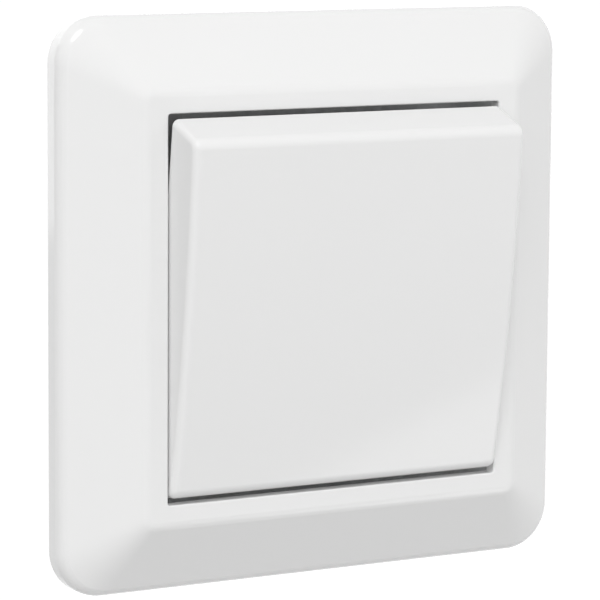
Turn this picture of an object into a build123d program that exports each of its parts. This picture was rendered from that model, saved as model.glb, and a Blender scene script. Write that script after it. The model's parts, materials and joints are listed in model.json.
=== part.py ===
from build123d import *
from math import atan2, cos, radians, sin, sqrt, tan
import os

# Flush-mounted rocker light switch, one gang, two-way, with push-in terminals.
# Millimetres. +Z is up, the front faces -Y and the wall's surface is the plane Y = 0.
# The origin is the centre of the mounting plate's back face, on the wall's surface.
# Heights are counted from the wall's surface to the front, depths into the wall box.

# Cover frame
frame_size = 85.0
frame_corner_radius = 7.0
frame_wall = 2.0
rim_height = 3.4
rim_rounding = 2.3
land_height = 10.0
land_size = 63.2
land_corner_radius = 1.5
land_rounding = 2.5
opening_width = 56.2
opening_height = 57.0
opening_corner_radius = 0.4
opening_edge_rounding = 0.25

# Frame hooks and stiffening ribs on the back of the cover frame
hook_width = 6.0
hook_thickness = 1.5
hook_offset = 16.0
hook_end_height = 1.8
nose_reach = 0.5
nose_height = 3.5
nose_depth = 1.3
frame_rib_thickness = 1.2
frame_rib_pitch = 18.0
frame_rib_setback = 0.6

# Rocker
swing_axis_height = 5.5
rocker_tilt = 7.5
rocker_side_gap = 0.2
rocker_end_gap = 0.2
rocker_end_lean = 1.8
rocker_face_height = 9.7
rocker_face_radius = 420.0
rocker_skirt_height = 1.7
rocker_face_wall = 2.0
rocker_side_wall = 1.6
rocker_end_rounding = 1.7
rocker_side_rounding = 1.0
seat_rib_thickness = 1.4
seat_rib_offset = 4.7
clip_thickness = 1.2
clip_width = 5.0
clip_offset = 8.0
barb_reach = 0.6
barb_depth = 0.9

# Rocker cradle with its trunnions and spring tube
cradle_width = 24.0
cradle_height = 25.0
cradle_thickness = 2.4
cradle_front_height = 4.4
cradle_corner_radius = 1.5
lug_thickness = 2.5
lug_radius = 1.9
trunnion_radius = 1.5
tube_radius = 3.6
tube_depth = 6.5
tube_floor = 1.8

# Plunger and its spring
plunger_radius = 2.25
plunger_back_depth = 2.0
plunger_tip_radius = 1.2
spring_wire_radius = 0.25
spring_coil_gap = 0.25
spring_turns = 5

# Mounting plate
plate_size = 69.0
plate_thickness = 1.2
plate_corner_radius = 6.0
plate_window_width = 37.0
plate_window_height = 35.0
plate_window_radius = 3.0
screw_spacing = 60.0
screw_slot_length = 7.0
screw_slot_width = 3.6
tongue_width = 8.0
tongue_height = 5.4

# Bearing cover
cover_thickness = 2.0
cover_height = 38.8
cover_corner_radius = 4.0
ear_thickness = 3.0
ear_width = 8.0
ear_gap = 0.6
ear_rise = 2.5
ear_slit_width = 2.4
tube_window_width = 8.6
tube_window_height = 11.6
tube_window_radius = 1.9
stop_width = 4.0
stop_depth = 2.0
stop_offset = 8.0

# Housing, its riveted ears and its rear cover
housing_width = 41.0
housing_height = 40.0
housing_depth = 20.0
housing_corner_radius = 5.0
rear_cover_thickness = 2.5
rear_edge_rounding = 0.8
press_post_width = 2.0
flange_edge = 2.25
flange_height = 23.6
flange_thickness = 2.2
flange_corner_radius = 2.0
rivet_radius = 1.5
rivet_head_radius = 2.0
rivet_head_height = 0.8
rivet_head_rounding = 0.4
rivet_bore_radius = 0.7
rivet_head_gap = 0.25
rivet_spacing_z = 17.0
snap_width = 10.0
snap_thickness = 1.2
snap_nose_height = 0.9
snap_nose_root = 1.0
snap_length = 7.0
snap_window_width = 6.0
snap_window_length = 2.4
snap_end_margin = 1.6

# Contact blade and contact rivets
blade_axis_depth = 8.0
blade_tilt = 7.2
blade_width = 6.0
blade_length = 28.0
blade_thickness = 0.8
pivot_bar_radius = 0.75
contact_offset = 12.0
contact_radius = 1.6
contact_height = 0.6
contact_dome_height = 0.3
contact_shank_radius = 0.8
contact_gap = 0.05
chamber_width = 10.0
chamber_height = 33.0
guide_rib_width = 3.0

# Terminals and push-in clamps
strip_thickness = 0.8
strip_width = 5.0
strip_overlap = 1.2
foot_width = 6.4
foot_depth = 12.8
bar_width = 8.8
bar_start_depth = 6.2
bar_end_depth = 17.0
clamp_offset = 9.9
clamp_wall = 2.1
clamp_chamber_length = 11.0
clamp_chamber_width = 9.2
wire_spacing = 4.8
wire_entry_radius = 1.4
funnel_radius = 1.9
funnel_depth = 0.6
leaf_thickness = 0.4
leaf_bend_radius = 1.6
leaf_bend_depth = 18.2
leaf_tip_gap = 1.4
leaf_tip_depth = 8.6
leaf_slit_width = 0.6
button_setback = 4.0
button_width = 4.0
button_height = 5.8
button_proud = 0.8
button_flange = 0.7
button_flange_thickness = 1.2
button_nose_width = 1.4
button_nose_depth = 14.3
groove_width = 1.0
groove_depth = 0.5

# Clearances
running_clearance = 0.05
fit_clearance = 0.1
moving_clearance = 0.2

# How far an edge may lie from the plane it is looked for in
edge_tolerance = 0.001

# Sizes that follow from the housing's width
cover_width = housing_width - 2 * fit_clearance
rivet_spacing_x = housing_width + 2 * (rivet_head_radius + rivet_head_gap)
flange_width = rivet_spacing_x + 2 * flange_edge
clamp_chamber_outer = housing_width / 2 - clamp_wall
bar_offset = clamp_chamber_outer - clamp_chamber_length
wire_offset = bar_offset + strip_thickness + wire_entry_radius + moving_clearance
leaf_tip_offset = bar_offset + leaf_tip_gap
button_offset = clamp_chamber_outer - button_setback


def block(x_from, x_to, y_from, y_to, z_from, z_to):
    """Box between two limits on each axis."""
    middle = Pos((x_from + x_to) / 2, (y_from + y_to) / 2, (z_from + z_to) / 2)
    return middle * Box(x_to - x_from, y_to - y_from, z_to - z_from)


def slab(width, height, corner, y_from, y_to):
    """Plate parallel to the wall with rounded corners, centred on the origin."""
    outline = RectangleRounded(width, height, corner)
    return extrude(Plane.XZ.offset(-y_to) * outline, y_to - y_from)


def rod_x(x_from, x_to, y, z, radius):
    """Round bar along X."""
    return Pos((x_from + x_to) / 2, y, z) * Rot(0, 90, 0) * Cylinder(radius, x_to - x_from)


def rod_y(y_from, y_to, x, z, radius):
    """Round bar along Y."""
    return Pos(x, (y_from + y_to) / 2, z) * Rot(90, 0, 0) * Cylinder(radius, y_to - y_from)


def prism_x(points, x_from, x_to):
    """Outline of Y, Z points drawn along X."""
    return extrude(Plane.YZ.offset(x_from) * make_face(Polyline(*points, close=True)), x_to - x_from)


def prism_z(points, z_from, z_to):
    """Outline of X, Y points drawn along Z."""
    return extrude(Plane.XY.offset(z_from) * make_face(Polyline(*points, close=True)), z_to - z_from)


def edges_at_height(shape, height):
    """Edges that lie in the plane at this height above the wall."""
    return shape.edges().filter_by_position(Axis.Y, -height - edge_tolerance, -height + edge_tolerance)


def mirrored_x(shape):
    """Shape together with its mirror image across the YZ plane."""
    return shape + mirror(shape, Plane.YZ)


def mirrored_z(shape):
    """Shape together with its mirror image across the XY plane."""
    return shape + mirror(shape, Plane.XY)


def on_swing_axis(shape):
    """Places a shape drawn about the swing axis, face level, in its tilted rest position."""
    return Pos(0, -swing_axis_height, 0) * Rot(rocker_tilt, 0, 0) * shape


def on_blade_axis(shape):
    """Places a shape drawn about the blade's axis, level, in its tilted rest position."""
    return Pos(0, blade_axis_depth, 0) * Rot(-blade_tilt, 0, 0) * shape


# Cover frame: a lofted shell with hooks and ribs on its back
slope_angle = atan2(land_height - rim_height, (frame_size - land_size) / 2)
slope_wall = frame_wall / cos(slope_angle)
hollow_height = land_height - frame_wall
hollow_rim_height = rim_height + frame_wall * tan(slope_angle) - slope_wall
tongue_outer = plate_size / 2
tongue_inner = tongue_outer - plate_thickness
hook_outer = tongue_inner - 2 * moving_clearance


def underside_height(distance):
    """Height of the bevel's inner face at a distance from the frame's centre."""
    return hollow_rim_height + (frame_size / 2 - frame_wall - distance) * tan(slope_angle)


def make_frame_body():
    """Outer form: upright rim, bevel, flat land and the rounded edges between them."""
    base = RectangleRounded(frame_size, frame_size, frame_corner_radius)
    land = RectangleRounded(land_size, land_size, land_corner_radius)
    rim = slab(frame_size, frame_size, frame_corner_radius, -rim_height, 0)
    bevel = loft([Plane.XZ.offset(rim_height) * base, Plane.XZ.offset(land_height) * land], ruled=True)
    body = rim + bevel
    body = fillet(edges_at_height(body, land_height), land_rounding)
    return fillet(edges_at_height(body, rim_height), rim_rounding)


def make_frame_hollow():
    """Space behind the frame, one wall thickness inside its outer form."""
    rim_size = frame_size - 2 * frame_wall
    rim_corner = frame_corner_radius - frame_wall
    top_size = rim_size - 2 * (hollow_height - hollow_rim_height) / tan(slope_angle)
    rim = slab(rim_size, rim_size, rim_corner, -hollow_rim_height, 0)
    wide = Plane.XZ.offset(hollow_rim_height) * RectangleRounded(rim_size, rim_size, rim_corner)
    narrow = Plane.XZ.offset(hollow_height) * RectangleRounded(top_size, top_size, land_corner_radius)
    return rim + loft([wide, narrow], ruled=True)


def make_frame_hook():
    """Hook behind the right side of the land, with a nose for the plate's tongue."""
    root_height = underside_height(hook_outer) + slope_wall / 2
    low = hook_offset - hook_width / 2
    high = hook_offset + hook_width / 2
    arm = block(hook_outer - hook_thickness, hook_outer, -root_height, -hook_end_height, low, high)
    reach = hook_outer + 2 * moving_clearance + nose_reach
    front = -nose_height - nose_depth / 2
    back = -nose_height + nose_depth / 2
    nose = prism_z([(hook_outer, front), (reach, front), (reach, -nose_height), (hook_outer, back)], low, high)
    return arm + nose


def make_frame_rib():
    """Upright stiffening web in the angle between rim and bevel on the right side."""
    outer = frame_size / 2 - frame_wall / 2
    inner = plate_size / 2 + 4 * moving_clearance
    web = [
        (outer, -frame_rib_setback),
        (inner, -frame_rib_setback),
        (inner, -underside_height(inner) - slope_wall / 2),
        (outer, -hollow_rim_height - slope_wall / 2),
    ]
    return prism_z(web, -frame_rib_thickness / 2, frame_rib_thickness / 2)


def make_cover_frame():
    opening = slab(opening_width, opening_height, opening_corner_radius, -land_height, 0)
    frame = make_frame_body() - make_frame_hollow() - opening
    side = opening_width / 2 + edge_tolerance
    end = opening_height / 2 + edge_tolerance
    lip = edges_at_height(frame, land_height).filter_by_position(Axis.X, -side, side)
    frame = fillet(lip.filter_by_position(Axis.Z, -end, end), opening_edge_rounding)
    frame += mirrored_z(mirrored_x(make_frame_hook()))
    rib = make_frame_rib()
    for turn in range(4):
        for step in (-1, 0, 1):
            frame += Rot(0, 90 * turn, 0) * Pos(0, 0, step * frame_rib_pitch) * rib
    return frame


# Rocker: drawn about the swing axis with its face level
rocker_width = opening_width - 2 * rocker_side_gap
skirt_half = opening_height / 2 - rocker_end_gap
face_half = skirt_half - rocker_end_lean
face_sag = rocker_face_radius - sqrt(rocker_face_radius ** 2 - face_half ** 2)
end_draft = atan2(rocker_end_lean, rocker_face_height - face_sag - rocker_skirt_height)
inner_face_height = rocker_face_height - rocker_face_wall
clip_inner = cradle_width / 2 + fit_clearance
cradle_back_height = cradle_front_height - cradle_thickness


def rocker_section(front_inset, end_inset, back_height):
    """Side view of the rocker, inset from its outer form, as a face in the YZ plane."""
    radius = rocker_face_radius - front_inset
    half = face_half - end_inset / cos(end_draft) + front_inset * tan(end_draft)
    front = -rocker_face_height + front_inset
    corner = front + radius - sqrt(radius ** 2 - half ** 2)
    back_half = half + (-back_height - corner) * tan(end_draft)
    arc = ThreePointArc((corner, -half), (front, 0), (corner, half))
    sides = Polyline((corner, half), (-back_height, back_half), (-back_height, -back_half), (corner, -half))
    return Plane.YZ * make_face(arc + sides)


def make_rocker_cap():
    """Hollow cap with its end edges rounded in the side view, and then its side edges and corners."""
    section = rocker_section(0, 0, rocker_skirt_height)
    section = fillet(section.vertices().sort_by(Axis.Y)[:2], rocker_end_rounding)
    cap = extrude(section, rocker_width / 2, both=True)
    side_edges = cap.faces().filter_by(Axis.X).edges()
    cap = fillet(side_edges.filter_by(Axis.Z, reverse=True), rocker_side_rounding)
    inner_width = rocker_width - 2 * rocker_side_wall
    return cap - extrude(rocker_section(rocker_face_wall, rocker_side_wall, 0), inner_width / 2, both=True)


def make_rocker_clip():
    """Clip arm that hooks behind one edge of the cradle, on the upper right."""
    low = clip_offset - clip_width / 2
    high = clip_offset + clip_width / 2
    root = -inner_face_height - rocker_face_wall / 2
    hook = -cradle_back_height + fit_clearance
    tip = hook + barb_depth
    outline = [
        (clip_inner, root),
        (clip_inner, hook),
        (clip_inner - barb_reach, hook),
        (clip_inner, tip),
        (clip_inner + clip_thickness, tip),
        (clip_inner + clip_thickness, root),
    ]
    return prism_z(outline, low, high)


def make_rocker():
    rocker = make_rocker_cap() + mirrored_z(mirrored_x(make_rocker_clip()))
    root = -inner_face_height - rocker_face_wall / 2
    rib_half = cradle_width / 2 - clip_thickness
    rib = block(-rib_half, rib_half, root, -cradle_front_height,
                seat_rib_offset - seat_rib_thickness / 2, seat_rib_offset + seat_rib_thickness / 2)
    return on_swing_axis(rocker + mirrored_z(rib))


# Rocker cradle: carried by two trunnions, with the spring tube behind it
ear_inner = cover_width / 2 - ear_thickness - fit_clearance
lug_outer = ear_inner - ear_gap
bore_radius = plunger_radius + running_clearance
bore_start = -cradle_front_height + tube_floor


def make_rocker_cradle():
    carrier = slab(cradle_width, cradle_height, cradle_corner_radius, -cradle_front_height, -cradle_back_height)
    beam = block(-lug_outer, lug_outer, -cradle_front_height, -cradle_back_height, -lug_radius, lug_radius)
    lug = block(lug_outer - lug_thickness, lug_outer, -cradle_front_height, 0, -lug_radius, lug_radius)
    lug += rod_x(lug_outer - lug_thickness, lug_outer, 0, 0, lug_radius)
    trunnion = rod_x(lug_outer - lug_thickness, ear_inner + ear_thickness, 0, 0, trunnion_radius)
    tube = rod_y(-cradle_front_height, tube_depth, 0, 0, tube_radius)
    cradle = carrier + beam + mirrored_x(lug + trunnion) + tube
    return on_swing_axis(cradle - rod_y(bore_start, tube_depth, 0, 0, bore_radius))


# Plunger: reaches the contact blade, with a small clearance when the swing is level
blade_front = blade_axis_depth - pivot_bar_radius - running_clearance - blade_thickness
plunger_tip = swing_axis_height + blade_front - fit_clearance


def make_plunger():
    shoulder = plunger_tip - 2 * plunger_tip_radius
    body = rod_y(plunger_back_depth, shoulder, 0, 0, plunger_radius)
    cone = Pos(0, shoulder, 0) * Rot(-90, 0, 0) * Cone(
        plunger_radius, plunger_tip_radius, plunger_tip_radius, align=(Align.CENTER, Align.CENTER, Align.MIN))
    tip = Pos(0, plunger_tip - plunger_tip_radius, 0) * Sphere(plunger_tip_radius)
    return on_swing_axis(body + cone + tip)


def make_plunger_spring():
    length = plunger_back_depth - bore_start
    coil_radius = plunger_radius - spring_coil_gap - spring_wire_radius
    rise = length - 2 * spring_wire_radius
    path = Helix(rise / spring_turns, rise, coil_radius)
    section = Plane(path @ 0, z_dir=path % 0) * Circle(spring_wire_radius)
    coil = sweep(section, path=path)
    return on_swing_axis(Pos(0, bore_start + spring_wire_radius, 0) * Rot(-90, 0, 0) * coil)


# Mounting plate: pressed from sheet, with slots for box screws and bent tongues
def make_screw_slot():
    """Slot for a box screw to the right of the centre, running outwards."""
    slot = SlotOverall(screw_slot_length, screw_slot_width)
    return Pos(screw_spacing / 2, 0, 0) * extrude(Plane.XZ * slot, plate_thickness)


def make_tongue():
    """Tongue bent forward at the plate's right edge, with a window for the frame's hook."""
    low = hook_offset - tongue_width / 2
    high = hook_offset + tongue_width / 2
    tongue = block(tongue_inner, tongue_outer, -tongue_height, 0, low, high)
    front = -nose_height - nose_depth / 2
    back = -nose_height + nose_depth / 2 + moving_clearance
    side = hook_width / 2 + moving_clearance
    return tongue - block(tongue_inner, tongue_outer, front, back, hook_offset - side, hook_offset + side)


def rivet_places():
    """X, Z places of the rivets."""
    return [(x * rivet_spacing_x / 2, z * rivet_spacing_z / 2) for x in (-1, 1) for z in (-1, 1)]


def cut_rivet_holes(shape, y_from, y_to):
    """Shape with a hole for each rivet."""
    for x, z in rivet_places():
        shape -= rod_y(y_from, y_to, x, z, rivet_radius + running_clearance)
    return shape


def make_mounting_plate():
    plate = slab(plate_size, plate_size, plate_corner_radius, -plate_thickness, 0)
    plate -= slab(plate_window_width, plate_window_height, plate_window_radius, -plate_thickness, 0)
    plate -= mirrored_x(make_screw_slot())
    plate = cut_rivet_holes(plate, -plate_thickness, 0)
    return plate + mirrored_z(mirrored_x(make_tongue()))


# Bearing cover: clamps the plate against the housing and carries the trunnions
cover_front = -plate_thickness - cover_thickness


def make_bearing_ear():
    """Right bearing ear with its trunnion hole and the slit the trunnion snaps in through."""
    front = -swing_axis_height - ear_rise
    ear = block(ear_inner, ear_inner + ear_thickness, front, cover_front, -ear_width / 2, ear_width / 2)
    ear -= rod_x(ear_inner, ear_inner + ear_thickness, -swing_axis_height, 0, trunnion_radius + running_clearance)
    return ear - block(ear_inner, ear_inner + ear_thickness, front, -swing_axis_height,
                       -ear_slit_width / 2, ear_slit_width / 2)


def make_swing_stop():
    """Upper right stop block that the cradle's back comes to rest on."""
    tilt = radians(rocker_tilt)
    reach = cradle_height / 2
    rest = -swing_axis_height - cradle_back_height * cos(tilt) + reach * sin(tilt) + fit_clearance
    return block(stop_offset - stop_width / 2, stop_offset + stop_width / 2, rest, cover_front,
                 reach - stop_depth, reach)


def make_bearing_cover():
    cover = slab(cover_width, cover_height, cover_corner_radius, cover_front, -plate_thickness)
    cover += slab(flange_width, flange_height, flange_corner_radius, cover_front, -plate_thickness)
    spigot_width = plate_window_width - 2 * fit_clearance
    spigot_height = plate_window_height - 2 * fit_clearance
    cover += slab(spigot_width, spigot_height, plate_window_radius, -plate_thickness, 0)
    cover -= slab(tube_window_width, tube_window_height, tube_window_radius, cover_front, 0)
    cover += mirrored_x(make_bearing_ear())
    cover += mirrored_z(mirrored_x(make_swing_stop()))
    return cut_rivet_holes(cover, cover_front, -plate_thickness)


# Contact blade and rivets: drawn about the blade's axis, level
blade_back = -pivot_bar_radius - running_clearance
contact_face = blade_back + contact_height + contact_dome_height


def contact_rivet(base, shank_length):
    """Contact rivet with its face towards +Y, on a strip whose face is at this Y."""
    head = rod_y(base, base + contact_height, 0, 0, contact_radius)
    radius = (contact_radius ** 2 + contact_dome_height ** 2) / (2 * contact_dome_height)
    ball = Pos(0, base + contact_height + contact_dome_height - radius, 0) * Sphere(radius)
    reach = contact_height + contact_dome_height
    dome = rod_y(base, base + reach, 0, 0, contact_radius) & ball
    return head + dome + rod_y(base - shank_length, base, 0, 0, contact_shank_radius)


def make_contact_blade():
    half = blade_width / 2
    front = blade_back - blade_thickness
    blade = block(-half, half, front, blade_back, -blade_length / 2, blade_length / 2)
    saddle = rod_x(-half, half, 0, 0, pivot_bar_radius + running_clearance + blade_thickness)
    blade += saddle & block(-half, half, front, 0, -blade_length / 2, blade_length / 2)
    blade -= rod_x(-half, half, 0, 0, pivot_bar_radius + running_clearance)
    for z in (-contact_offset, contact_offset):
        blade -= rod_y(front, blade_back, 0, z, contact_shank_radius)
    return on_blade_axis(blade)


def make_moving_contact(side):
    """Contact rivet on the blade's upper (+1) or lower (-1) arm."""
    return on_blade_axis(Pos(0, 0, side * contact_offset) * contact_rivet(blade_back, blade_thickness))


# Terminals: brass strips seated in the housing from behind
tilt_blade = radians(blade_tilt)
closed_depth = blade_axis_depth + contact_face * cos(tilt_blade) + contact_offset * sin(tilt_blade)
contact_height_z = contact_offset * cos(tilt_blade) - contact_face * sin(tilt_blade)
strip_depth = closed_depth + contact_gap + contact_height + contact_dome_height
strip_end = chamber_width / 2 + strip_overlap
bar_outer = bar_offset + strip_thickness


def make_common_terminal():
    half = blade_width / 2
    pivot = rod_x(-half, half, blade_axis_depth, 0, pivot_bar_radius)
    post = block(-half, half, blade_axis_depth, foot_depth, -pivot_bar_radius + fit_clearance,
                 pivot_bar_radius - fit_clearance)
    foot = block(-half, bar_offset, foot_depth, foot_depth + strip_thickness, -foot_width / 2, foot_width / 2)
    bar = block(bar_offset, bar_outer, bar_start_depth, bar_end_depth, -bar_width / 2, bar_width / 2)
    return pivot + post + foot + bar


def make_switched_terminal(side):
    """Terminal of the upper (+1) or lower (-1) line, with a bar on the left and its contact strip."""
    middle = side * contact_height_z
    strip = block(-bar_offset, strip_end, strip_depth, strip_depth + strip_thickness,
                  middle - strip_width / 2, middle + strip_width / 2)
    strip -= rod_y(strip_depth, strip_depth + strip_thickness, 0, middle, contact_shank_radius)
    centre = side * clamp_offset
    bar = block(-bar_outer, -bar_offset, bar_start_depth, bar_end_depth,
                centre - bar_width / 2, centre + bar_width / 2)
    return strip + bar


def make_fixed_contact(side):
    """Contact rivet on the upper (+1) or lower (-1) terminal, facing the blade."""
    rivet = Rot(0, 0, 180) * contact_rivet(0, strip_thickness)
    return Pos(0, strip_depth, side * contact_height_z) * rivet


def at_clamp(shape, name):
    """Moves a clamp piece drawn for the right side to the clamp of this name."""
    if name == "common":
        return shape
    side = 1 if name == "upper" else -1
    return Pos(0, 0, side * clamp_offset) * mirror(shape, Plane.YZ)


def make_clamp_spring(name):
    """Bent leaf with two tongues that press the wires against the terminal's bar."""
    root = clamp_chamber_outer - leaf_thickness / 2
    foot = bar_start_depth + leaf_thickness / 2
    path = FilletPolyline((root, foot), (root, leaf_bend_depth), (leaf_tip_offset, leaf_tip_depth),
                          radius=leaf_bend_radius)
    section = make_face(offset(path, leaf_thickness / 2, side=Side.BOTH).edges())
    leaf = extrude(Plane.XY.offset(-bar_width / 2) * section, bar_width)
    bend_end = clamp_chamber_outer - 2 * leaf_bend_radius
    slit = block(leaf_tip_offset - leaf_thickness, bend_end - leaf_bend_radius, leaf_tip_depth - leaf_thickness,
                 leaf_bend_depth, -leaf_slit_width / 2, leaf_slit_width / 2)
    return at_clamp(leaf - slit, name)


rear_depth = housing_depth + rear_cover_thickness
flange_end_depth = housing_depth - running_clearance
flange_start_depth = flange_end_depth - button_flange_thickness


def make_release_button(name):
    """Push button with a tool groove, a retaining flange and a nose over the clamp's leaf."""
    left = button_offset - button_width / 2
    right = button_offset + button_width / 2
    half = button_height / 2
    end = rear_depth + button_proud
    stem = block(left, right, flange_start_depth, end, -half, half)
    stem = fillet(stem.faces().sort_by(Axis.Y)[-1].edges(), moving_clearance)
    stem -= block(left, right, end - groove_depth, end, -groove_width / 2, groove_width / 2)
    flange = block(left - button_flange, right + button_flange, flange_start_depth, flange_end_depth,
                   -half - button_flange, half + button_flange)
    nose = block(left, left + button_nose_width, button_nose_depth, flange_end_depth, -half, half)
    return at_clamp(stem + flange + nose, name)


clamp_names = ("common", "upper", "lower")


# Housing: moulded block with a contact chamber in front and terminal chambers behind
def make_clamp_chamber(name):
    half = clamp_chamber_width / 2
    chamber = block(bar_offset, clamp_chamber_outer, bar_start_depth, housing_depth, -half, half)
    return at_clamp(chamber, name)


def make_strip_pocket(side):
    """Pocket behind the upper (+1) or lower (-1) contact strip."""
    middle = side * contact_height_z
    half = strip_width / 2 + fit_clearance
    return block(-bar_offset, strip_end + fit_clearance, strip_depth, housing_depth, middle - half, middle + half)


def make_snap_nose():
    """Wedge on the housing's top wall that holds the rear cover's snap tongue."""
    wall = housing_height / 2
    start = housing_depth - snap_length + snap_end_margin + moving_clearance
    end = start + snap_window_length - 2 * moving_clearance
    root = wall - snap_nose_root
    wedge = [(start, root), (start, wall + snap_nose_height), (end, wall), (end, root)]
    half = snap_window_width / 2 - moving_clearance
    return prism_x(wedge, -half, half)


def make_housing_base():
    base = slab(housing_width, housing_height, housing_corner_radius, 0, housing_depth)
    base += slab(flange_width, flange_height, flange_corner_radius, 0, flange_thickness)
    base -= block(-chamber_width / 2, chamber_width / 2, 0, strip_depth, -chamber_height / 2, chamber_height / 2)
    guide = block(blade_width / 2 + moving_clearance, chamber_width / 2, bar_start_depth, strip_depth,
                  -guide_rib_width / 2, guide_rib_width / 2)
    base += mirrored_x(guide)
    slot_half = pivot_bar_radius + fit_clearance
    post_half = blade_width / 2 + fit_clearance
    base -= block(-post_half, post_half, strip_depth, foot_depth, -slot_half, slot_half)
    foot_half = foot_width / 2 + fit_clearance
    base -= block(-post_half, bar_offset, foot_depth, housing_depth, -foot_half, foot_half)
    base -= make_strip_pocket(1) + make_strip_pocket(-1)
    for name in clamp_names:
        base -= make_clamp_chamber(name)
    base += mirrored_z(make_snap_nose())
    return cut_rivet_holes(base, 0, flange_thickness)


# Rear cover: closes the terminal chambers, with wire entries and button openings
def make_snap_tongue():
    """Snap tongue over the housing's top wall, with its window."""
    wall = housing_height / 2 + fit_clearance
    start = housing_depth - snap_length
    half = snap_width / 2
    tongue = block(-half, half, start, rear_depth, wall, wall + snap_thickness)
    tongue += block(-half, half, housing_depth, rear_depth, wall - snap_thickness, wall + snap_thickness)
    window_start = start + snap_end_margin
    window_half = snap_window_width / 2
    return tongue - block(-window_half, window_half, window_start, window_start + snap_window_length,
                          wall, wall + snap_thickness)


def make_clamp_openings(name):
    """Two funnelled wire entries and the button opening of one clamp."""
    half_width = button_width / 2 + moving_clearance
    half_height = button_height / 2 + moving_clearance
    openings = block(button_offset - half_width, button_offset + half_width, housing_depth, rear_depth,
                     -half_height, half_height)
    funnel = Rot(-90, 0, 0) * Cone(wire_entry_radius, funnel_radius, funnel_depth)
    for side in (-1, 1):
        z = side * wire_spacing / 2
        openings += rod_y(housing_depth, rear_depth, wire_offset, z, wire_entry_radius)
        openings += Pos(wire_offset, rear_depth - funnel_depth / 2, z) * funnel
    return at_clamp(openings, name)


def make_rear_cover():
    cover = slab(housing_width, housing_height, housing_corner_radius, housing_depth, rear_depth)
    cover = fillet(cover.faces().sort_by(Axis.Y)[-1].edges(), rear_edge_rounding)
    for name in clamp_names:
        cover -= make_clamp_openings(name)
    cover += mirrored_z(make_snap_tongue())
    post_half = press_post_width / 2
    reach = blade_width / 2 - fit_clearance
    cover += block(-reach, reach, foot_depth + strip_thickness, housing_depth, -post_half, post_half)
    strip_post = block(strip_end - press_post_width, strip_end, strip_depth + strip_thickness, housing_depth,
                       contact_height_z - post_half, contact_height_z + post_half)
    return cover + mirrored_z(strip_post)


def make_rivets():
    """Tubular rivets through bearing cover, plate and housing ears."""
    rivets = []
    for x, z in rivet_places():
        rivet = rod_y(cover_front, flange_thickness, x, z, rivet_radius)
        rivet += rod_y(cover_front - rivet_head_height, cover_front, x, z, rivet_head_radius)
        rivet += rod_y(flange_thickness, flange_thickness + rivet_head_height, x, z, rivet_head_radius)
        rims = rivet.edges().filter_by(GeomType.CIRCLE).sort_by(Axis.Y)
        rivet = fillet([rims[0], rims[-1]], rivet_head_rounding)
        bore = rod_y(0, flange_thickness + rivet_head_height, x, z, rivet_bore_radius)
        rivets.append(rivet - bore)
    return Compound(children=rivets)


nodes = {
    "cover_frame": make_cover_frame(),
    "rocker": make_rocker(),
    "rocker_cradle": make_rocker_cradle(),
    "plunger": make_plunger(),
    "plunger_spring": make_plunger_spring(),
    "mounting_plate": make_mounting_plate(),
    "bearing_cover": make_bearing_cover(),
    "housing_base": make_housing_base(),
    "rear_cover": make_rear_cover(),
    "rivets": make_rivets(),
    "contact_blade": make_contact_blade(),
    "moving_contact_upper": make_moving_contact(1),
    "moving_contact_lower": make_moving_contact(-1),
    "common_terminal": make_common_terminal(),
    "upper_terminal": make_switched_terminal(1),
    "lower_terminal": make_switched_terminal(-1),
    "fixed_contact_upper": make_fixed_contact(1),
    "fixed_contact_lower": make_fixed_contact(-1),
}
for clamp_name in clamp_names:
    nodes["clamp_spring_" + clamp_name] = make_clamp_spring(clamp_name)
    nodes["release_button_" + clamp_name] = make_release_button(clamp_name)

os.makedirs("parts", exist_ok=True)
for node_name, shape in nodes.items():
    export_step(shape, f"parts/{node_name}.step")
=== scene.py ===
"""Looks of a flush wall light switch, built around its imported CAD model.

Sizes are in metres and angles in degrees. +Z is up, the front faces -Y and the wall's surface is
the plane Y = 0. The cover frame and the rocker are seen from the room, the insert from behind.
"""

import json
import logging
import math
from dataclasses import dataclass
from enum import Enum

import bmesh
import bpy
from mathutils import Matrix, Vector

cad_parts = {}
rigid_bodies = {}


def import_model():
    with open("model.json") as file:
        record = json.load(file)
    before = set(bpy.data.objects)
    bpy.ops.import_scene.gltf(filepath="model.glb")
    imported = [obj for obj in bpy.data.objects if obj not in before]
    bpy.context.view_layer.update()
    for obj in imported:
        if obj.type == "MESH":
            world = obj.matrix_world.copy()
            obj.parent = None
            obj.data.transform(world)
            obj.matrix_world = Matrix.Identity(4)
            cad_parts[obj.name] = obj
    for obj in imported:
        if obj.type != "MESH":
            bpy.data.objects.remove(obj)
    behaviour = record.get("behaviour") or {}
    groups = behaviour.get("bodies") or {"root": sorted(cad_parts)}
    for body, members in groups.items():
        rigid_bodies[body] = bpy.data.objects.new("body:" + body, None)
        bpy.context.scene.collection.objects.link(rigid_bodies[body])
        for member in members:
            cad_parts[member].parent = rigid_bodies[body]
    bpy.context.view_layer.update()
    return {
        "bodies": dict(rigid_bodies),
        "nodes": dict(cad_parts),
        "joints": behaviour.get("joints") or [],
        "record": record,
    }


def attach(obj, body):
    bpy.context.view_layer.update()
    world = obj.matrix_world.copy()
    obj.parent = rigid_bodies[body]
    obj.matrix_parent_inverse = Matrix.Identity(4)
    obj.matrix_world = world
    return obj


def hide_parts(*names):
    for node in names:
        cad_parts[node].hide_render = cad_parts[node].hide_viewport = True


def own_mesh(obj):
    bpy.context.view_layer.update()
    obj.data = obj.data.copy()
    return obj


log = logging.getLogger("light_switch")

MM = 0.001
MICRON = 0.000001
MERGE_DISTANCE = 1.0 * MICRON
WHITE_LIGHT = (1.0, 1.0, 1.0, 1.0)
INSERT_BODY = "insert"
ROCKER_BODY = "rocker"

Colour = tuple[float, float, float]
Point = tuple[float, float, float]


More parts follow.
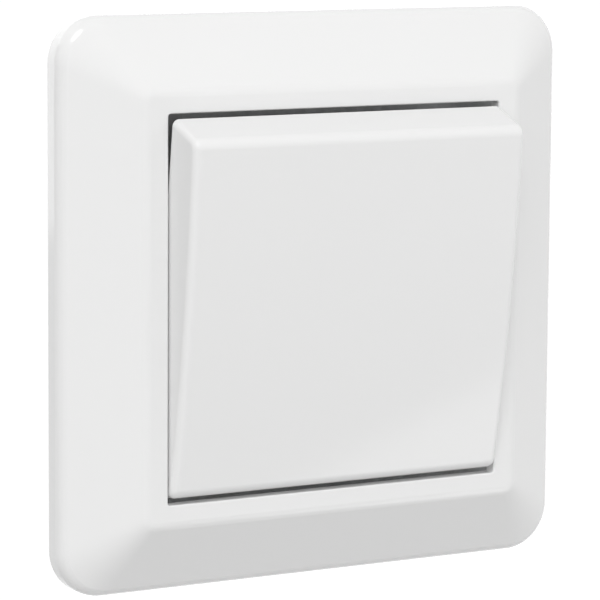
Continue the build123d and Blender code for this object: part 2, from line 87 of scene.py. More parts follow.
class Clamp(Enum):
    """The three push-in clamps, named for the line that each one takes."""

    COMMON = "common"
    UPPER = "upper"
    LOWER = "lower"


class Grain(Enum):
    """Which way a metal's rolling marks run, as how closely they repeat along X, Y and Z."""

    ALONG_X = (0.05, 1.0, 1.0)
    ALONG_Z = (1.0, 1.0, 0.05)
    NONE = (1.0, 1.0, 1.0)


class Slot(Enum):
    """The record's material slots."""

    WHITE = "white_gloss"
    CARRIER = "carrier_plastic"
    HOUSING = "housing_plastic"
    BUTTON = "button_plastic"
    ZINC = "zinc_steel"
    RIVET = "rivet_steel"
    SPRING = "spring_steel"
    BRASS = "brass"
    SILVER = "contact_silver"


class NodeTree:
    """Short ways to add nodes to a tree and to join them."""

    def __init__(self, tree: bpy.types.NodeTree) -> None:
        """Keeps the tree that is being filled.

        Args:
            tree: A material's, world's or group's node tree.
        """
        self.tree = tree

    def add(self, kind: str, **settings: object) -> bpy.types.Node:
        """Adds a node.

        Args:
            kind: The node's type name.
            **settings: Properties of the node and their values.

        Returns:
            The new node.
        """
        node = self.tree.nodes.new(kind)
        for name, value in settings.items():
            setattr(node, name, value)
        return node

    def join(self, source: bpy.types.NodeSocket, target: bpy.types.NodeSocket) -> None:
        """Links an output to an input."""
        self.tree.links.new(source, target)

    def feed(self, target: bpy.types.NodeSocket, value: object) -> None:
        """Links an output to an input, or sets the input to a plain value.

        Args:
            target: The input.
            value: An output or a plain value.
        """
        if isinstance(value, bpy.types.NodeSocket):
            self.join(value, target)
        else:
            target.default_value = value

    def math(self, operation: str, *values: object) -> bpy.types.NodeSocket:
        """Adds a Math node.

        Args:
            operation: What the node does, such as MULTIPLY.
            *values: For each input in turn, a number or the output that feeds it.

        Returns:
            The node's output.
        """
        node = self.add("ShaderNodeMath", operation=operation)
        for socket, value in zip(node.inputs, values):
            self.feed(socket, value)
        return node.outputs["Value"]

    def noise(self, place: bpy.types.NodeSocket, repeats: object, detail: float) -> bpy.types.NodeSocket:
        """Adds a noise pattern that lies between about -1 and 1.

        Args:
            place: The coordinates that it follows.
            repeats: How often it repeats in a metre, as a number or an output.
            detail: How many finer layers it has.

        Returns:
            Its value.
        """
        node = self.add("ShaderNodeTexNoise")
        self.join(place, node.inputs["Vector"])
        self.feed(node.inputs["Scale"], repeats)
        self.feed(node.inputs["Detail"], detail)
        return self.math("MULTIPLY_ADD", node.outputs["Fac"], 2.0, -1.0)

    def ramp(self, value: bpy.types.NodeSocket, low: float, high: float) -> bpy.types.NodeSocket:
        """Adds a smooth step.

        Args:
            value: The value that it follows.
            low: Where the step starts from 0.
            high: Where the step reaches 1.

        Returns:
            A value from 0 to 1.
        """
        node = self.add("ShaderNodeMapRange", interpolation_type="SMOOTHSTEP")
        self.join(value, node.inputs["Value"])
        self.feed(node.inputs["From Min"], low)
        self.feed(node.inputs["From Max"], high)
        return node.outputs["Result"]

    def tinted(self, tone: bpy.types.NodeSocket, factor: bpy.types.NodeSocket) -> bpy.types.NodeSocket:
        """Multiplies a colour by a value.

        Args:
            tone: The colour.
            factor: The value.

        Returns:
            The darker or lighter colour.
        """
        node = self.add("ShaderNodeVectorMath", operation="SCALE")
        self.join(tone, node.inputs["Vector"])
        self.join(factor, node.inputs["Scale"])
        return node.outputs["Vector"]


def new_group(name: str, inputs: dict[str, str], outputs: dict[str, str]) -> tuple[NodeTree, dict, dict]:
    """Starts a shader node group.

    Args:
        name: The group's name.
        inputs: Socket types by the names of its inputs.
        outputs: Socket types by the names of its outputs.

    Returns:
        Its tree, the sockets that bring the inputs in, and the sockets that take the outputs.
    """
    tree = bpy.data.node_groups.new(name, "ShaderNodeTree")
    for socket, kind in inputs.items():
        tree.interface.new_socket(socket, in_out="INPUT", socket_type=kind)
    for socket, kind in outputs.items():
        tree.interface.new_socket(socket, in_out="OUTPUT", socket_type=kind)
    nodes = NodeTree(tree)
    start = nodes.add("NodeGroupInput")
    end = nodes.add("NodeGroupOutput")
    return nodes, dict(start.outputs.items()), dict(end.inputs.items())


class SurfaceGroups:
    """Shader node groups that more than one finish uses.

    Patterns are given by how often they repeat in a metre and how many finer layers they have.
    """

    FLOAT = "NodeSocketFloat"
    COLOUR = "NodeSocketColor"
    OUTPUTS = {"Color": COLOUR, "Roughness": FLOAT, "Height": FLOAT}
    CLOUD_REPEATS = 45.0
    CLOUD_LAYERS = 3.0
    RUB_REPEATS = 160.0
    RUB_LAYERS = 4.0
    GRAIN_LAYERS = 2.0
    WAVE_LAYERS = 1.0
    MARK_REPEATS = 5200.0
    MARK_LAYERS = 4.0
    CRYSTAL_REPEATS = 900.0
    SPOT_REPEATS = 120.0
    SPOT_LAYERS = 5.0
    BACK_FROM = 0.1
    BACK_TO = 0.4
    SPOT_FROM = 0.05
    SPOT_TO = 0.45
    MARK_SHADE = 0.06
    CRYSTAL_SHADE = 0.5

    def __init__(self) -> None:
        """Builds the groups."""
        self.moulding = self.build_moulding()
        self.sheet = self.build_sheet()

    def build_moulding(self) -> bpy.types.NodeTree:
        """Surface of a moulding: flow clouds, polish that varies, the mould's grain and a slight waviness.

        Faces that look to the back come from the mould's eroded core, so they are duller and grainier.

        Returns:
            The group.
        """
        inputs = {
            "Tone": self.COLOUR,
            "Tone Spread": self.FLOAT,
            "Roughness": self.FLOAT,
            "Roughness Spread": self.FLOAT,
            "Grain Repeats": self.FLOAT,
            "Grain Depth": self.FLOAT,
            "Wave Repeats": self.FLOAT,
            "Wave Depth": self.FLOAT,
            "Back Roughness": self.FLOAT,
            "Back Grain": self.FLOAT,
        }
        nodes, given, made = new_group("moulding surface", inputs, self.OUTPUTS)
        spot = nodes.add("ShaderNodeTexCoord")
        place = spot.outputs["Object"]
        facing = nodes.add("ShaderNodeSeparateXYZ")
        nodes.join(spot.outputs["Normal"], facing.inputs["Vector"])
        back = nodes.ramp(facing.outputs["Y"], self.BACK_FROM, self.BACK_TO)
        clouds = nodes.noise(place, self.CLOUD_REPEATS, self.CLOUD_LAYERS)
        tone = nodes.math("MULTIPLY_ADD", clouds, given["Tone Spread"], 1.0)
        nodes.join(nodes.tinted(given["Tone"], tone), made["Color"])
        rubbed = nodes.noise(place, self.RUB_REPEATS, self.RUB_LAYERS)
        rough = nodes.math("MULTIPLY_ADD", rubbed, given["Roughness Spread"], given["Roughness"])
        rough = nodes.math("MULTIPLY_ADD", back, given["Back Roughness"], rough)
        nodes.join(rough, made["Roughness"])
        grain = nodes.noise(place, given["Grain Repeats"], self.GRAIN_LAYERS)
        depth = nodes.math("MULTIPLY_ADD", back, given["Back Grain"], given["Grain Depth"])
        wave = nodes.noise(place, given["Wave Repeats"], self.WAVE_LAYERS)
        height = nodes.math("MULTIPLY_ADD", wave, given["Wave Depth"], nodes.math("MULTIPLY", grain, depth))
        nodes.join(height, made["Height"])
        return nodes.tree

    def build_sheet(self) -> bpy.types.NodeTree:
        """Surface of rolled or drawn metal: rolling marks, a crystal pattern and dull spots.

        Returns:
            The group.
        """
        inputs = {
            "Tone": self.COLOUR,
            "Stain": self.COLOUR,
            "Stain Share": self.FLOAT,
            "Roughness": self.FLOAT,
            "Roughness Spread": self.FLOAT,
            "Grain Direction": "NodeSocketVector",
            "Crystal Share": self.FLOAT,
            "Mark Depth": self.FLOAT,
        }
        nodes, given, made = new_group("rolled metal surface", inputs, self.OUTPUTS)
        place = nodes.add("ShaderNodeTexCoord").outputs["Object"]
        stretch = nodes.add("ShaderNodeVectorMath", operation="MULTIPLY")
        nodes.join(place, stretch.inputs[0])
        nodes.join(given["Grain Direction"], stretch.inputs[1])
        marks = nodes.noise(stretch.outputs["Vector"], self.MARK_REPEATS, self.MARK_LAYERS)
        crystal = nodes.add("ShaderNodeTexVoronoi", feature="F1")
        nodes.feed(crystal.inputs["Scale"], self.CRYSTAL_REPEATS)
        nodes.join(place, crystal.inputs["Vector"])
        split = nodes.add("ShaderNodeSeparateColor")
        nodes.join(crystal.outputs["Color"], split.inputs["Color"])
        facets = nodes.math("MULTIPLY", split.outputs["Red"], given["Crystal Share"])
        shade = nodes.math("MULTIPLY_ADD", marks, self.MARK_SHADE, 1.0)
        shade = nodes.math("MULTIPLY_ADD", facets, -self.CRYSTAL_SHADE, shade)
        patches = nodes.noise(place, self.SPOT_REPEATS, self.SPOT_LAYERS)
        spots = nodes.ramp(patches, self.SPOT_FROM, self.SPOT_TO)
        stained = nodes.math("MULTIPLY", spots, given["Stain Share"])
        # The Mix node has sockets for every type of data, so those for colours are picked out
        blend = nodes.add("ShaderNodeMix", data_type="RGBA")
        nodes.join(stained, blend.inputs["Factor"])
        colours = [socket for socket in blend.inputs if socket.type == "RGBA"]
        nodes.join(given["Tone"], colours[0])
        nodes.join(given["Stain"], colours[1])
        result = next(socket for socket in blend.outputs if socket.type == "RGBA")
        nodes.join(nodes.tinted(result, shade), made["Color"])
        uneven = nodes.math("ADD", nodes.math("ADD", marks, facets), stained)
        rough = nodes.math("MULTIPLY_ADD", uneven, given["Roughness Spread"], given["Roughness"])
        nodes.join(rough, made["Roughness"])
        nodes.join(nodes.math("MULTIPLY", marks, given["Mark Depth"]), made["Height"])
        return nodes.tree


class SurfaceMaterial:
    """A material whose colour, roughness and relief come from a surface group."""

    def __init__(self, name: str, group: bpy.types.NodeTree) -> None:
        """Makes the material and joins its group to its shader.

        Args:
            name: The material's name.
            group: The surface group.
        """
        self.material = bpy.data.materials.new(name)
        self.material.use_nodes = True
        nodes = NodeTree(self.material.node_tree)
        self.shader = self.material.node_tree.nodes["Principled BSDF"]
        self.surface = nodes.add("ShaderNodeGroup", node_tree=group)
        # The groups give heights in metres, which the bump takes as they are
        relief = nodes.add("ShaderNodeBump")
        relief.inputs["Strength"].default_value = 1.0
        relief.inputs["Distance"].default_value = 1.0
        nodes.join(self.surface.outputs["Color"], self.shader.inputs["Base Color"])
        nodes.join(self.surface.outputs["Roughness"], self.shader.inputs["Roughness"])
        nodes.join(self.surface.outputs["Height"], relief.inputs["Height"])
        nodes.join(relief.outputs["Normal"], self.shader.inputs["Normal"])

    def set_surface(self, values: dict[str, object]) -> None:
        """Sets inputs of the surface group by name."""
        for name, value in values.items():
            self.surface.inputs[name].default_value = value


@dataclass(frozen=True)
class MouldedPlastic:
    """Injection-moulded plastic and the surface that its mould left."""

    name: str
    tone: Colour
    tone_spread: float
    roughness: float
    roughness_spread: float
    grain_size: float
    grain_depth: float
    wave_size: float
    wave_depth: float
    back_roughness: float = 0.0
    back_grain: float = 0.0
    refraction: float = 1.5

    def material(self, groups: SurfaceGroups) -> bpy.types.Material:
        """Builds the material.

        Args:
            groups: The shared surface groups.

        Returns:
            The material.
        """
        made = SurfaceMaterial(self.name, groups.moulding)
        made.set_surface({
            "Tone": (*self.tone, 1.0),
            "Tone Spread": self.tone_spread,
            "Roughness": self.roughness,
            "Roughness Spread": self.roughness_spread,
            "Grain Repeats": 1.0 / self.grain_size,
            "Grain Depth": self.grain_depth,
            "Wave Repeats": 1.0 / self.wave_size,
            "Wave Depth": self.wave_depth,
            "Back Roughness": self.back_roughness,
            "Back Grain": self.back_grain,
        })
        made.shader.inputs["IOR"].default_value = self.refraction
        return made.material


@dataclass(frozen=True)
class RolledMetal:
    """Rolled, drawn or plated metal."""

    name: str
    tone: Colour
    stain: Colour
    stain_share: float
    roughness: float
    roughness_spread: float
    grain: Grain
    crystal_share: float
    mark_depth: float

    def material(self, groups: SurfaceGroups) -> bpy.types.Material:
        """Builds the material.

        Args:
            groups: The shared surface groups.

        Returns:
            The material.
        """
        made = SurfaceMaterial(self.name, groups.sheet)
        made.set_surface({
            "Tone": (*self.tone, 1.0),
            "Stain": (*self.stain, 1.0),
            "Stain Share": self.stain_share,
            "Roughness": self.roughness,
            "Roughness Spread": self.roughness_spread,
            "Grain Direction": self.grain.value,
            "Crystal Share": self.crystal_share,
            "Mark Depth": self.mark_depth,
        })
        made.shader.inputs["Metallic"].default_value = 1.0
        return made.material


FINISHES = {
    Slot.WHITE: MouldedPlastic(
        "polished white moulding",
        tone=(0.84, 0.84, 0.838), tone_spread=0.006, roughness=0.09, roughness_spread=0.012,
        grain_size=0.25 * MM, grain_depth=0.0, wave_size=9.0 * MM, wave_depth=1.5 * MICRON,
        back_roughness=0.35, back_grain=3.0 * MICRON),
    Slot.CARRIER: MouldedPlastic(
        "natural polyamide",
        tone=(0.70, 0.68, 0.60), tone_spread=0.03, roughness=0.42, roughness_spread=0.05,
        grain_size=0.3 * MM, grain_depth=1.5 * MICRON, wave_size=5.0 * MM, wave_depth=4.0 * MICRON),
    Slot.HOUSING: MouldedPlastic(
        "grey housing moulding",
        tone=(0.57, 0.57, 0.54), tone_spread=0.035, roughness=0.48, roughness_spread=0.06,
        grain_size=0.35 * MM, grain_depth=4.0 * MICRON, wave_size=7.0 * MM, wave_depth=6.0 * MICRON),
    Slot.BUTTON: MouldedPlastic(
        "dark grey button moulding",
        tone=(0.17, 0.185, 0.21), tone_spread=0.04, roughness=0.40, roughness_spread=0.06,
        grain_size=0.25 * MM, grain_depth=3.0 * MICRON, wave_size=3.0 * MM, wave_depth=2.0 * MICRON),
    # The plate's grey and its stains are zinc's own colours, set darker than bare zinc so that the plate
    # stands in for the shade in the gap round the rocker where it shows through: partly painted shade.
    Slot.ZINC: RolledMetal(
        "zinc plated sheet darkened as painted shade",
        tone=(0.47, 0.475, 0.48), stain=(0.37, 0.36, 0.34), stain_share=0.5,
        roughness=0.38, roughness_spread=0.12,
        grain=Grain.ALONG_Z, crystal_share=0.22, mark_depth=0.8 * MICRON),
    Slot.RIVET: RolledMetal(
        "plated rivet steel",
        tone=(0.55, 0.55, 0.56), stain=(0.42, 0.41, 0.39), stain_share=0.4,
        roughness=0.32, roughness_spread=0.1,
        grain=Grain.NONE, crystal_share=0.1, mark_depth=1.0 * MICRON),
    Slot.SPRING: RolledMetal(
        "spring steel",
        tone=(0.50, 0.50, 0.49), stain=(0.36, 0.34, 0.31), stain_share=0.35,
        roughness=0.30, roughness_spread=0.1,
        grain=Grain.ALONG_X, crystal_share=0.05, mark_depth=0.8 * MICRON),
    Slot.BRASS: RolledMetal(
        "brass strip",
        tone=(0.80, 0.60, 0.28), stain=(0.56, 0.36, 0.15), stain_share=0.45,
        roughness=0.30, roughness_spread=0.12,
        grain=Grain.ALONG_Z, crystal_share=0.08, mark_depth=0.8 * MICRON),
    Slot.SILVER: RolledMetal(
        "silver contact alloy",
        tone=(0.86, 0.85, 0.82), stain=(0.60, 0.57, 0.50), stain_share=0.4,
        roughness=0.26, roughness_spread=0.1,
        grain=Grain.NONE, crystal_share=0.06, mark_depth=0.2 * MICRON),
}


class Workshop:
    """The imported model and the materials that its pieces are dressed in."""

    def __init__(self, frame: dict) -> None:
        """Builds every finish once.

        Args:
            frame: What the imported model's loader returned.
        """
        groups = SurfaceGroups()
        self.nodes = frame["nodes"]
        self.materials = {slot: finish.material(groups) for slot, finish in FINISHES.items()}

    def dress(self, slot: Slot, *names: str) -> None:
        """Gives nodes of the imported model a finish.

        Args:
            slot: The finish.
            *names: The nodes.
        """
        for name in names:
            for place in self.nodes[name].material_slots:
                place.material = self.materials[slot]
            log.info("dressed %s in %s", name, self.materials[slot].name)

    def add_piece(self, name: str, mesh: bpy.types.Mesh, slot: Slot) -> bpy.types.Object:
        """Puts a finished mesh into the scene.

        Args:
            name: The piece's name.
            mesh: Its mesh, in place.
            slot: Its finish.

        Returns:
            The piece.
        """
        mesh.materials.clear()
        mesh.materials.append(self.materials[slot])
        piece = bpy.data.objects.new(name, mesh)
        bpy.context.scene.collection.objects.link(piece)
        log.info("built %s with %d faces", name, len(mesh.polygons))
        return piece


def mesh_from_tree(tree: bpy.types.GeometryNodeTree, values: dict[str, object]) -> bpy.types.Mesh:
    """Runs a Geometry Nodes tree once and keeps its result as a plain mesh.

    Args:
        tree: The tree.
        values: Values by the names of its inputs.

    Returns:
        The mesh.
    """
    carrier = bpy.data.objects.new("carrier", bpy.data.meshes.new("carrier"))
    bpy.context.scene.collection.objects.link(carrier)
    modifier = carrier.modifiers.new("shape", "NODES")
    modifier.node_group = tree
    for item in tree.interface.items_tree:
        if item.in_out == "INPUT":
            modifier[item.identifier] = values[item.name]
    shown = carrier.evaluated_get(bpy.context.evaluated_depsgraph_get())
    mesh = bpy.data.meshes.new_from_object(shown)
    bpy.data.objects.remove(carrier)
    return mesh


def joined_copy(source: bpy.types.Mesh, name: str, crease_angle: float) -> bpy.types.Mesh:
    """Copies a CAD node's loose triangles as one closed mesh with smooth curves and crisp edges.

    Args:
        source: The node's mesh.
        name: The copy's name.
        crease_angle: Degrees between two faces past which their edge stays crisp.

    Returns:
        The copy.
    """
    copy = bmesh.new()
    corners = [copy.verts.new(vertex.co) for vertex in source.vertices]
    for polygon in source.polygons:
        copy.faces.new([corners[index] for index in polygon.vertices])
    bmesh.ops.remove_doubles(copy, verts=copy.verts, dist=MERGE_DISTANCE)
    for face in copy.faces:
        face.smooth = True
    for edge in copy.edges:
        edge.smooth = edge.calc_face_angle(math.pi) < math.radians(crease_angle)
    mesh = bpy.data.meshes.new(name)
    copy.to_mesh(mesh)
    copy.free()
    return mesh


@dataclass
class Front:
    """Cover frame and rocker cap, the two mouldings that are seen from the room."""

    frame_node: str = "cover_frame"
    rocker_node: str = "rocker"

    def dress(self, shop: Workshop) -> None:
        """Gives both the same polished white."""
        shop.dress(Slot.WHITE, self.frame_node, self.rocker_node)


@dataclass
class RockerDrive:
    """Cradle behind the rocker, its plunger, and the coil spring between them."""

    swing_axis_height: float = 5.5 * MM
    rest_tilt: float = 7.5
    coil_radius: float = 1.75 * MM
    wire_radius: float = 0.25 * MM
    coil_start: float = -2.35 * MM
    coil_length: float = 4.1 * MM
    turns: float = 5.0
    even_share: float = 0.61
    path_points: int = 240
    wire_sides: int = 12
    pressed_share: float = 0.865

    INPUTS = {
        "Coil Radius": "NodeSocketFloat",
        "Wire Radius": "NodeSocketFloat",
        "Length": "NodeSocketFloat",
        "Turns": "NodeSocketFloat",
        "Even Share": "NodeSocketFloat",
        "Path Points": "NodeSocketInt",
        "Wire Sides": "NodeSocketInt",
        "Finish": "NodeSocketMaterial",
    }

    def build_coil_tree(self) -> bpy.types.GeometryNodeTree:
        """Geometry Nodes tree of a compression spring along Y, with its end turns closed.

        The height follows the turns by a straight share and a smooth step, so that the pitch is
        one wire's width at both ends and wider in the middle.

        Returns:
            The tree.
        """
        tree = bpy.data.node_groups.new("compression coil", "GeometryNodeTree")
        for name, kind in self.INPUTS.items():
            tree.interface.new_socket(name, in_out="INPUT", socket_type=kind)
        tree.interface.new_socket("Geometry", in_out="OUTPUT", socket_type="NodeSocketGeometry")
        nodes = NodeTree(tree)
        given = nodes.add("NodeGroupInput").outputs
        line = nodes.add("GeometryNodeCurvePrimitiveLine")
        path = nodes.add("GeometryNodeResampleCurve", mode="COUNT")
        nodes.join(line.outputs["Curve"], path.inputs["Curve"])
        nodes.join(given["Path Points"], path.inputs["Count"])
        share = nodes.add("GeometryNodeSplineParameter").outputs["Factor"]
        turned = nodes.math("MULTIPLY", share, given["Turns"])
        angle = nodes.math("MULTIPLY", turned, math.tau)
        wide = nodes.math("MULTIPLY", nodes.math("COSINE", angle), given["Coil Radius"])
        high = nodes.math("MULTIPLY", nodes.math("SINE", angle), given["Coil Radius"])
        even = nodes.math("MULTIPLY", share, given["Even Share"])
        rest = nodes.math("SUBTRACT", 1.0, given["Even Share"])
        climb = nodes.math("MULTIPLY_ADD", nodes.ramp(share, 0.0, 1.0), rest, even)
        along = nodes.math("MULTIPLY", climb, given["Length"])
        place = nodes.add("ShaderNodeCombineXYZ")
        nodes.join(wide, place.inputs["X"])
        nodes.join(along, place.inputs["Y"])
        nodes.join(high, place.inputs["Z"])
        wound = nodes.add("GeometryNodeSetPosition")
        nodes.join(path.outputs["Curve"], wound.inputs["Geometry"])
        nodes.join(place.outputs["Vector"], wound.inputs["Position"])
        section = nodes.add("GeometryNodeCurvePrimitiveCircle", mode="RADIUS")
        nodes.join(given["Wire Sides"], section.inputs["Resolution"])
        nodes.join(given["Wire Radius"], section.inputs["Radius"])
        wire = nodes.add("GeometryNodeCurveToMesh")
        wire.inputs["Fill Caps"].default_value = True
        nodes.join(wound.outputs["Geometry"], wire.inputs["Curve"])
        nodes.join(section.outputs["Curve"], wire.inputs["Profile Curve"])
        real = nodes.add("GeometryNodeRealizeInstances")
        nodes.join(wire.outputs["Mesh"], real.inputs["Geometry"])
        dressed = nodes.add("GeometryNodeSetMaterial")
        nodes.join(real.outputs["Geometry"], dressed.inputs["Geometry"])
        nodes.join(given["Finish"], dressed.inputs["Material"])
        nodes.join(dressed.outputs["Geometry"], nodes.add("NodeGroupOutput").inputs["Geometry"])
        return tree

    def build_coil(self, shop: Workshop) -> None:
        """Winds the plunger's spring and sets it in the cradle's tube.

        Args:
            shop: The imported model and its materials.
        """
        values = {
            "Coil Radius": self.coil_radius,
            "Wire Radius": self.wire_radius,
            "Length": self.coil_length,
            "Turns": self.turns,
            "Even Share": self.even_share,
            "Path Points": self.path_points,
            "Wire Sides": self.wire_sides,
            "Finish": shop.materials[Slot.SPRING],
        }
        mesh = mesh_from_tree(self.build_coil_tree(), values)
        mesh.shade_smooth()
        tilt = Matrix.Rotation(math.radians(self.rest_tilt), 4, "X")
        axis = Matrix.Translation((0.0, -self.swing_axis_height, 0.0)) @ tilt
        mesh.transform(axis @ Matrix.Translation((0.0, self.coil_start, 0.0)))
        coil = shop.add_piece("plunger_coil", mesh, Slot.SPRING)
        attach(coil, ROCKER_BODY)
        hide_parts("plunger_spring")
        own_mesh(coil)

    def dress(self, shop: Workshop) -> None:
        """Dresses the mouldings and winds the spring."""
        shop.dress(Slot.CARRIER, "rocker_cradle", "plunger")
        self.build_coil(shop)


@dataclass
class Insert:
    """Plate, housing, its covers and the rivets that hold them together."""

    mouldings: tuple[str, ...] = ("bearing_cover", "housing_base", "rear_cover")

    def dress(self, shop: Workshop) -> None:
        """Gives the mouldings, the plate and the rivets their finishes."""
        shop.dress(Slot.HOUSING, *self.mouldings)
        shop.dress(Slot.ZINC, "mounting_plate")
        shop.dress(Slot.RIVET, "rivets")


@dataclass
class Contacts:
    """Brass strips and blade with their silver contact rivets."""

    strips: tuple[str, ...] = ("contact_blade", "common_terminal", "upper_terminal", "lower_terminal")
    arms: tuple[str, ...] = ("upper", "lower")

    def dress(self, shop: Workshop) -> None:
        """Gives the strips brass and the contact rivets silver."""
        shop.dress(Slot.BRASS, *self.strips)
        for arm in self.arms:
            shop.dress(Slot.SILVER, f"moving_contact_{arm}", f"fixed_contact_{arm}")


@dataclass
class PushInClamp:
    """Leaf spring that holds two wires, and the button that opens it."""

    clamp: Clamp
    foot_depth: float = 6.2 * MM
    opened_share: float = 0.73
    crease_angle: float = 30.0

    def build_leaf(self, shop: Workshop) -> None:
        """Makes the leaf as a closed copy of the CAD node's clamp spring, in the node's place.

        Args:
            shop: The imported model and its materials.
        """
        node = f"clamp_spring_{self.clamp.value}"
        name = f"clamp_leaf_{self.clamp.value}"
        mesh = joined_copy(shop.nodes[node].data, name, self.crease_angle)
        leaf = shop.add_piece(name, mesh, Slot.SPRING)
        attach(leaf, INSERT_BODY)
        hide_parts(node)
        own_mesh(leaf)

    def dress(self, shop: Workshop) -> None:
        """Makes the leaf and dresses the button."""
        self.build_leaf(shop)
        shop.dress(Slot.BUTTON, f"release_button_{self.clamp.value}")


@dataclass(frozen=True)
class Softbox:
    """A rectangular studio lamp that faces the switch."""

    name: str
    direction: Point
    distance: float
    width: float
    height: float
    radiance: float
    lean: float = 0.0

    def hang(self) -> None:
        """Makes the lamp and places it."""
        lamp = bpy.data.lights.new(self.name, "AREA")
        lamp.shape = "RECTANGLE"
        lamp.size = self.width
        lamp.size_y = self.height
        lamp.energy = self.radiance * math.pi * self.width * self.height
        holder = bpy.data.objects.new(self.name, lamp)
        bpy.context.scene.collection.objects.link(holder)
        away = Vector(self.direction).normalized()
        turn = away.to_track_quat("Z", "Y").to_matrix().to_4x4()
        lean = Matrix.Rotation(math.radians(self.lean), 4, "Z")
        holder.matrix_world = Matrix.Translation(away * self.distance) @ turn @ lean
        holder.visible_camera = False
        log.info("hung %s", self.name)


@dataclass(frozen=True)
class SoftGlow:
    """Broad soft light from one side of the studio, strongest in its direction."""

    direction: Point
    strength: float


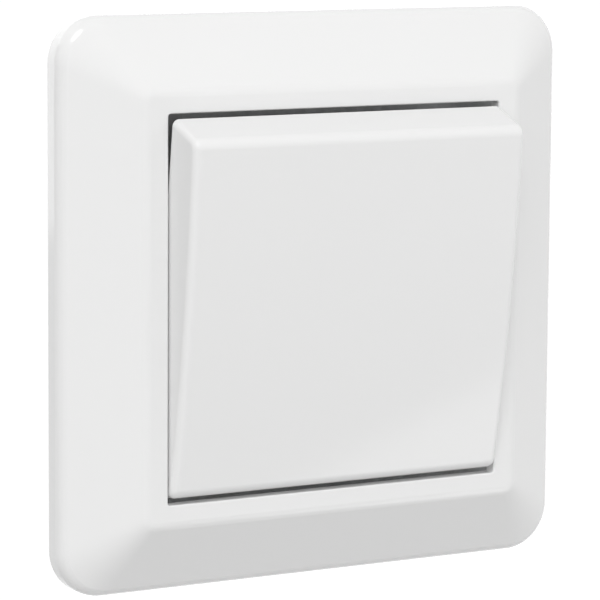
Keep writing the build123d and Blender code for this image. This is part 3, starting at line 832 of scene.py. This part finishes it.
@dataclass
class Studio:
    """Soft light all round, a pale floor, and the camera at the photograph's place.

    The lens and the sensor are in millimetres.
    """

    light_level: float = 0.2
    glow_focus: float = 4.0
    glows: tuple[SoftGlow, ...] = (
        SoftGlow(direction=(0.0, -1.0, 0.1), strength=0.86),
        SoftGlow(direction=(-0.7, -0.7, 0.1), strength=1.95),
        SoftGlow(direction=(1.0, 0.0, 0.1), strength=1.9),
        SoftGlow(direction=(0.0, 1.0, 0.3), strength=0.2),
    )
    floor_drop: float = 0.42
    floor_size: float = 40.0
    floor_shade: float = 0.5
    floor_glow: float = 0.74
    azimuth: float = 29.7928
    elevation: float = 7.8662
    roll: float = 0.3861
    camera_distance: float = 0.517131
    aim: Point = (-0.5738 * MM, 0.0, -1.2484 * MM)
    lens: float = 206.103
    sensor: float = 36.0
    nearest_seen: float = 0.01
    softboxes: tuple[Softbox, ...] = (
        Softbox("key softbox", direction=(-0.385, -0.57, 0.725), distance=1.1,
                width=0.42, height=0.42, radiance=5.0),
        Softbox("low softbox", direction=(0.594, -0.617, -0.517), distance=0.5,
                width=0.14, height=0.20, radiance=1.15, lean=-29.1),
        Softbox("rear softbox", direction=(-0.44, 0.53, 0.73), distance=1.0,
                width=0.8, height=0.8, radiance=0.65),
        Softbox("back softbox", direction=(0.0, 1.0, 0.28), distance=1.2,
                width=2.0, height=1.0, radiance=1.0),
    )

    @staticmethod
    def seen_directly(nodes: NodeTree) -> bpy.types.NodeSocket:
        """Adds a test for rays that show the background: from the camera, a gloss or glass.

        Args:
            nodes: The tree.

        Returns:
            1 for such a ray and 0 for others.
        """
        ray = nodes.add("ShaderNodeLightPath").outputs
        shown = nodes.math("MAXIMUM", ray["Is Camera Ray"], ray["Is Glossy Ray"])
        return nodes.math("MAXIMUM", shown, ray["Is Transmission Ray"])

    def light_world(self) -> None:
        """Lights the switch from all round and more from some sides; the background shows white."""
        world = bpy.data.worlds.new("studio")
        world.use_nodes = True
        nodes = NodeTree(world.node_tree)
        world.node_tree.nodes.clear()
        direction = nodes.add("ShaderNodeTexCoord").outputs["Generated"]
        level = self.light_level
        for glow in self.glows:
            toward = nodes.add("ShaderNodeVectorMath", operation="DOT_PRODUCT")
            nodes.join(direction, toward.inputs[0])
            toward.inputs[1].default_value = Vector(glow.direction).normalized()
            facing = nodes.math("MAXIMUM", toward.outputs["Value"], 0.0)
            lobe = nodes.math("POWER", facing, self.glow_focus)
            level = nodes.math("MULTIPLY_ADD", lobe, glow.strength, level)
        soft = nodes.add("ShaderNodeBackground")
        nodes.feed(soft.inputs["Strength"], level)
        soft.inputs["Color"].default_value = WHITE_LIGHT
        white = nodes.add("ShaderNodeBackground")
        white.inputs["Color"].default_value = WHITE_LIGHT
        mix = nodes.add("ShaderNodeMixShader")
        nodes.join(self.seen_directly(nodes), mix.inputs["Fac"])
        nodes.join(soft.outputs["Background"], mix.inputs[1])
        nodes.join(white.outputs["Background"], mix.inputs[2])
        nodes.join(mix.outputs["Shader"], nodes.add("ShaderNodeOutputWorld").inputs["Surface"])
        bpy.context.scene.world = world
        log.info("lit the studio")

    def floor_material(self) -> bpy.types.Material:
        """Pale floor that shows white around the object's soft shadow.

        Returns:
            The material.
        """
        material = bpy.data.materials.new("pale floor")
        material.use_nodes = True
        nodes = NodeTree(material.node_tree)
        material.node_tree.nodes.clear()
        pale = nodes.add("ShaderNodeBsdfDiffuse")
        pale.inputs["Color"].default_value = (self.floor_shade, self.floor_shade, self.floor_shade, 1.0)
        glow = nodes.add("ShaderNodeEmission")
        level = nodes.math("MULTIPLY", self.seen_directly(nodes), self.floor_glow)
        nodes.join(level, glow.inputs["Strength"])
        shown = nodes.add("ShaderNodeAddShader")
        nodes.join(pale.outputs["BSDF"], shown.inputs[0])
        nodes.join(glow.outputs["Emission"], shown.inputs[1])
        nodes.join(shown.outputs["Shader"], nodes.add("ShaderNodeOutputMaterial").inputs["Surface"])
        return material

    def lay_floor(self) -> None:
        """Lays the floor below the switch."""
        half = self.floor_size / 2.0
        corners = [(-half, -half), (half, -half), (half, half), (-half, half)]
        mesh = bpy.data.meshes.new("floor")
        mesh.from_pydata([(x, y, -self.floor_drop) for x, y in corners], [], [(0, 1, 2, 3)])
        mesh.materials.append(self.floor_material())
        floor = bpy.data.objects.new("floor", mesh)
        bpy.context.scene.collection.objects.link(floor)
        log.info("laid the floor")

    def set_camera(self) -> None:
        """Places the camera in front of the switch, to its left and a little above."""
        side = math.radians(self.azimuth)
        rise = math.radians(self.elevation)
        view = Vector((math.sin(side) * math.cos(rise), math.cos(side) * math.cos(rise), -math.sin(rise)))
        right = Vector((math.cos(side), -math.sin(side), 0.0))
        turn = Matrix((right, right.cross(view), -view)).transposed().to_4x4()
        spin = Matrix.Rotation(math.radians(self.roll), 4, "Z")
        data = bpy.data.cameras.new("photograph view")
        data.lens = self.lens
        data.sensor_width = self.sensor
        data.sensor_fit = "HORIZONTAL"
        data.clip_start = self.nearest_seen
        camera = bpy.data.objects.new("photograph view", data)
        bpy.context.scene.collection.objects.link(camera)
        place = Vector(self.aim) - view * self.camera_distance
        camera.matrix_world = Matrix.Translation(place) @ turn @ spin
        bpy.context.scene.camera = camera
        log.info("set the camera")

    def build(self) -> None:
        """Builds the whole studio."""
        bpy.context.scene.view_settings.view_transform = "Standard"
        self.light_world()
        for softbox in self.softboxes:
            softbox.hang()
        self.lay_floor()
        self.set_camera()


def main() -> None:
    """Builds the switch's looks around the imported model."""
    logging.basicConfig(level=logging.INFO, format="%(name)s: %(message)s")
    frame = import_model()
    shop = Workshop(frame)
    for assembly in (Front(), RockerDrive(), Insert(), Contacts()):
        assembly.dress(shop)
    for clamp in Clamp:
        PushInClamp(clamp).dress(shop)
    Studio().build()


if __name__ == "__main__":
    main()
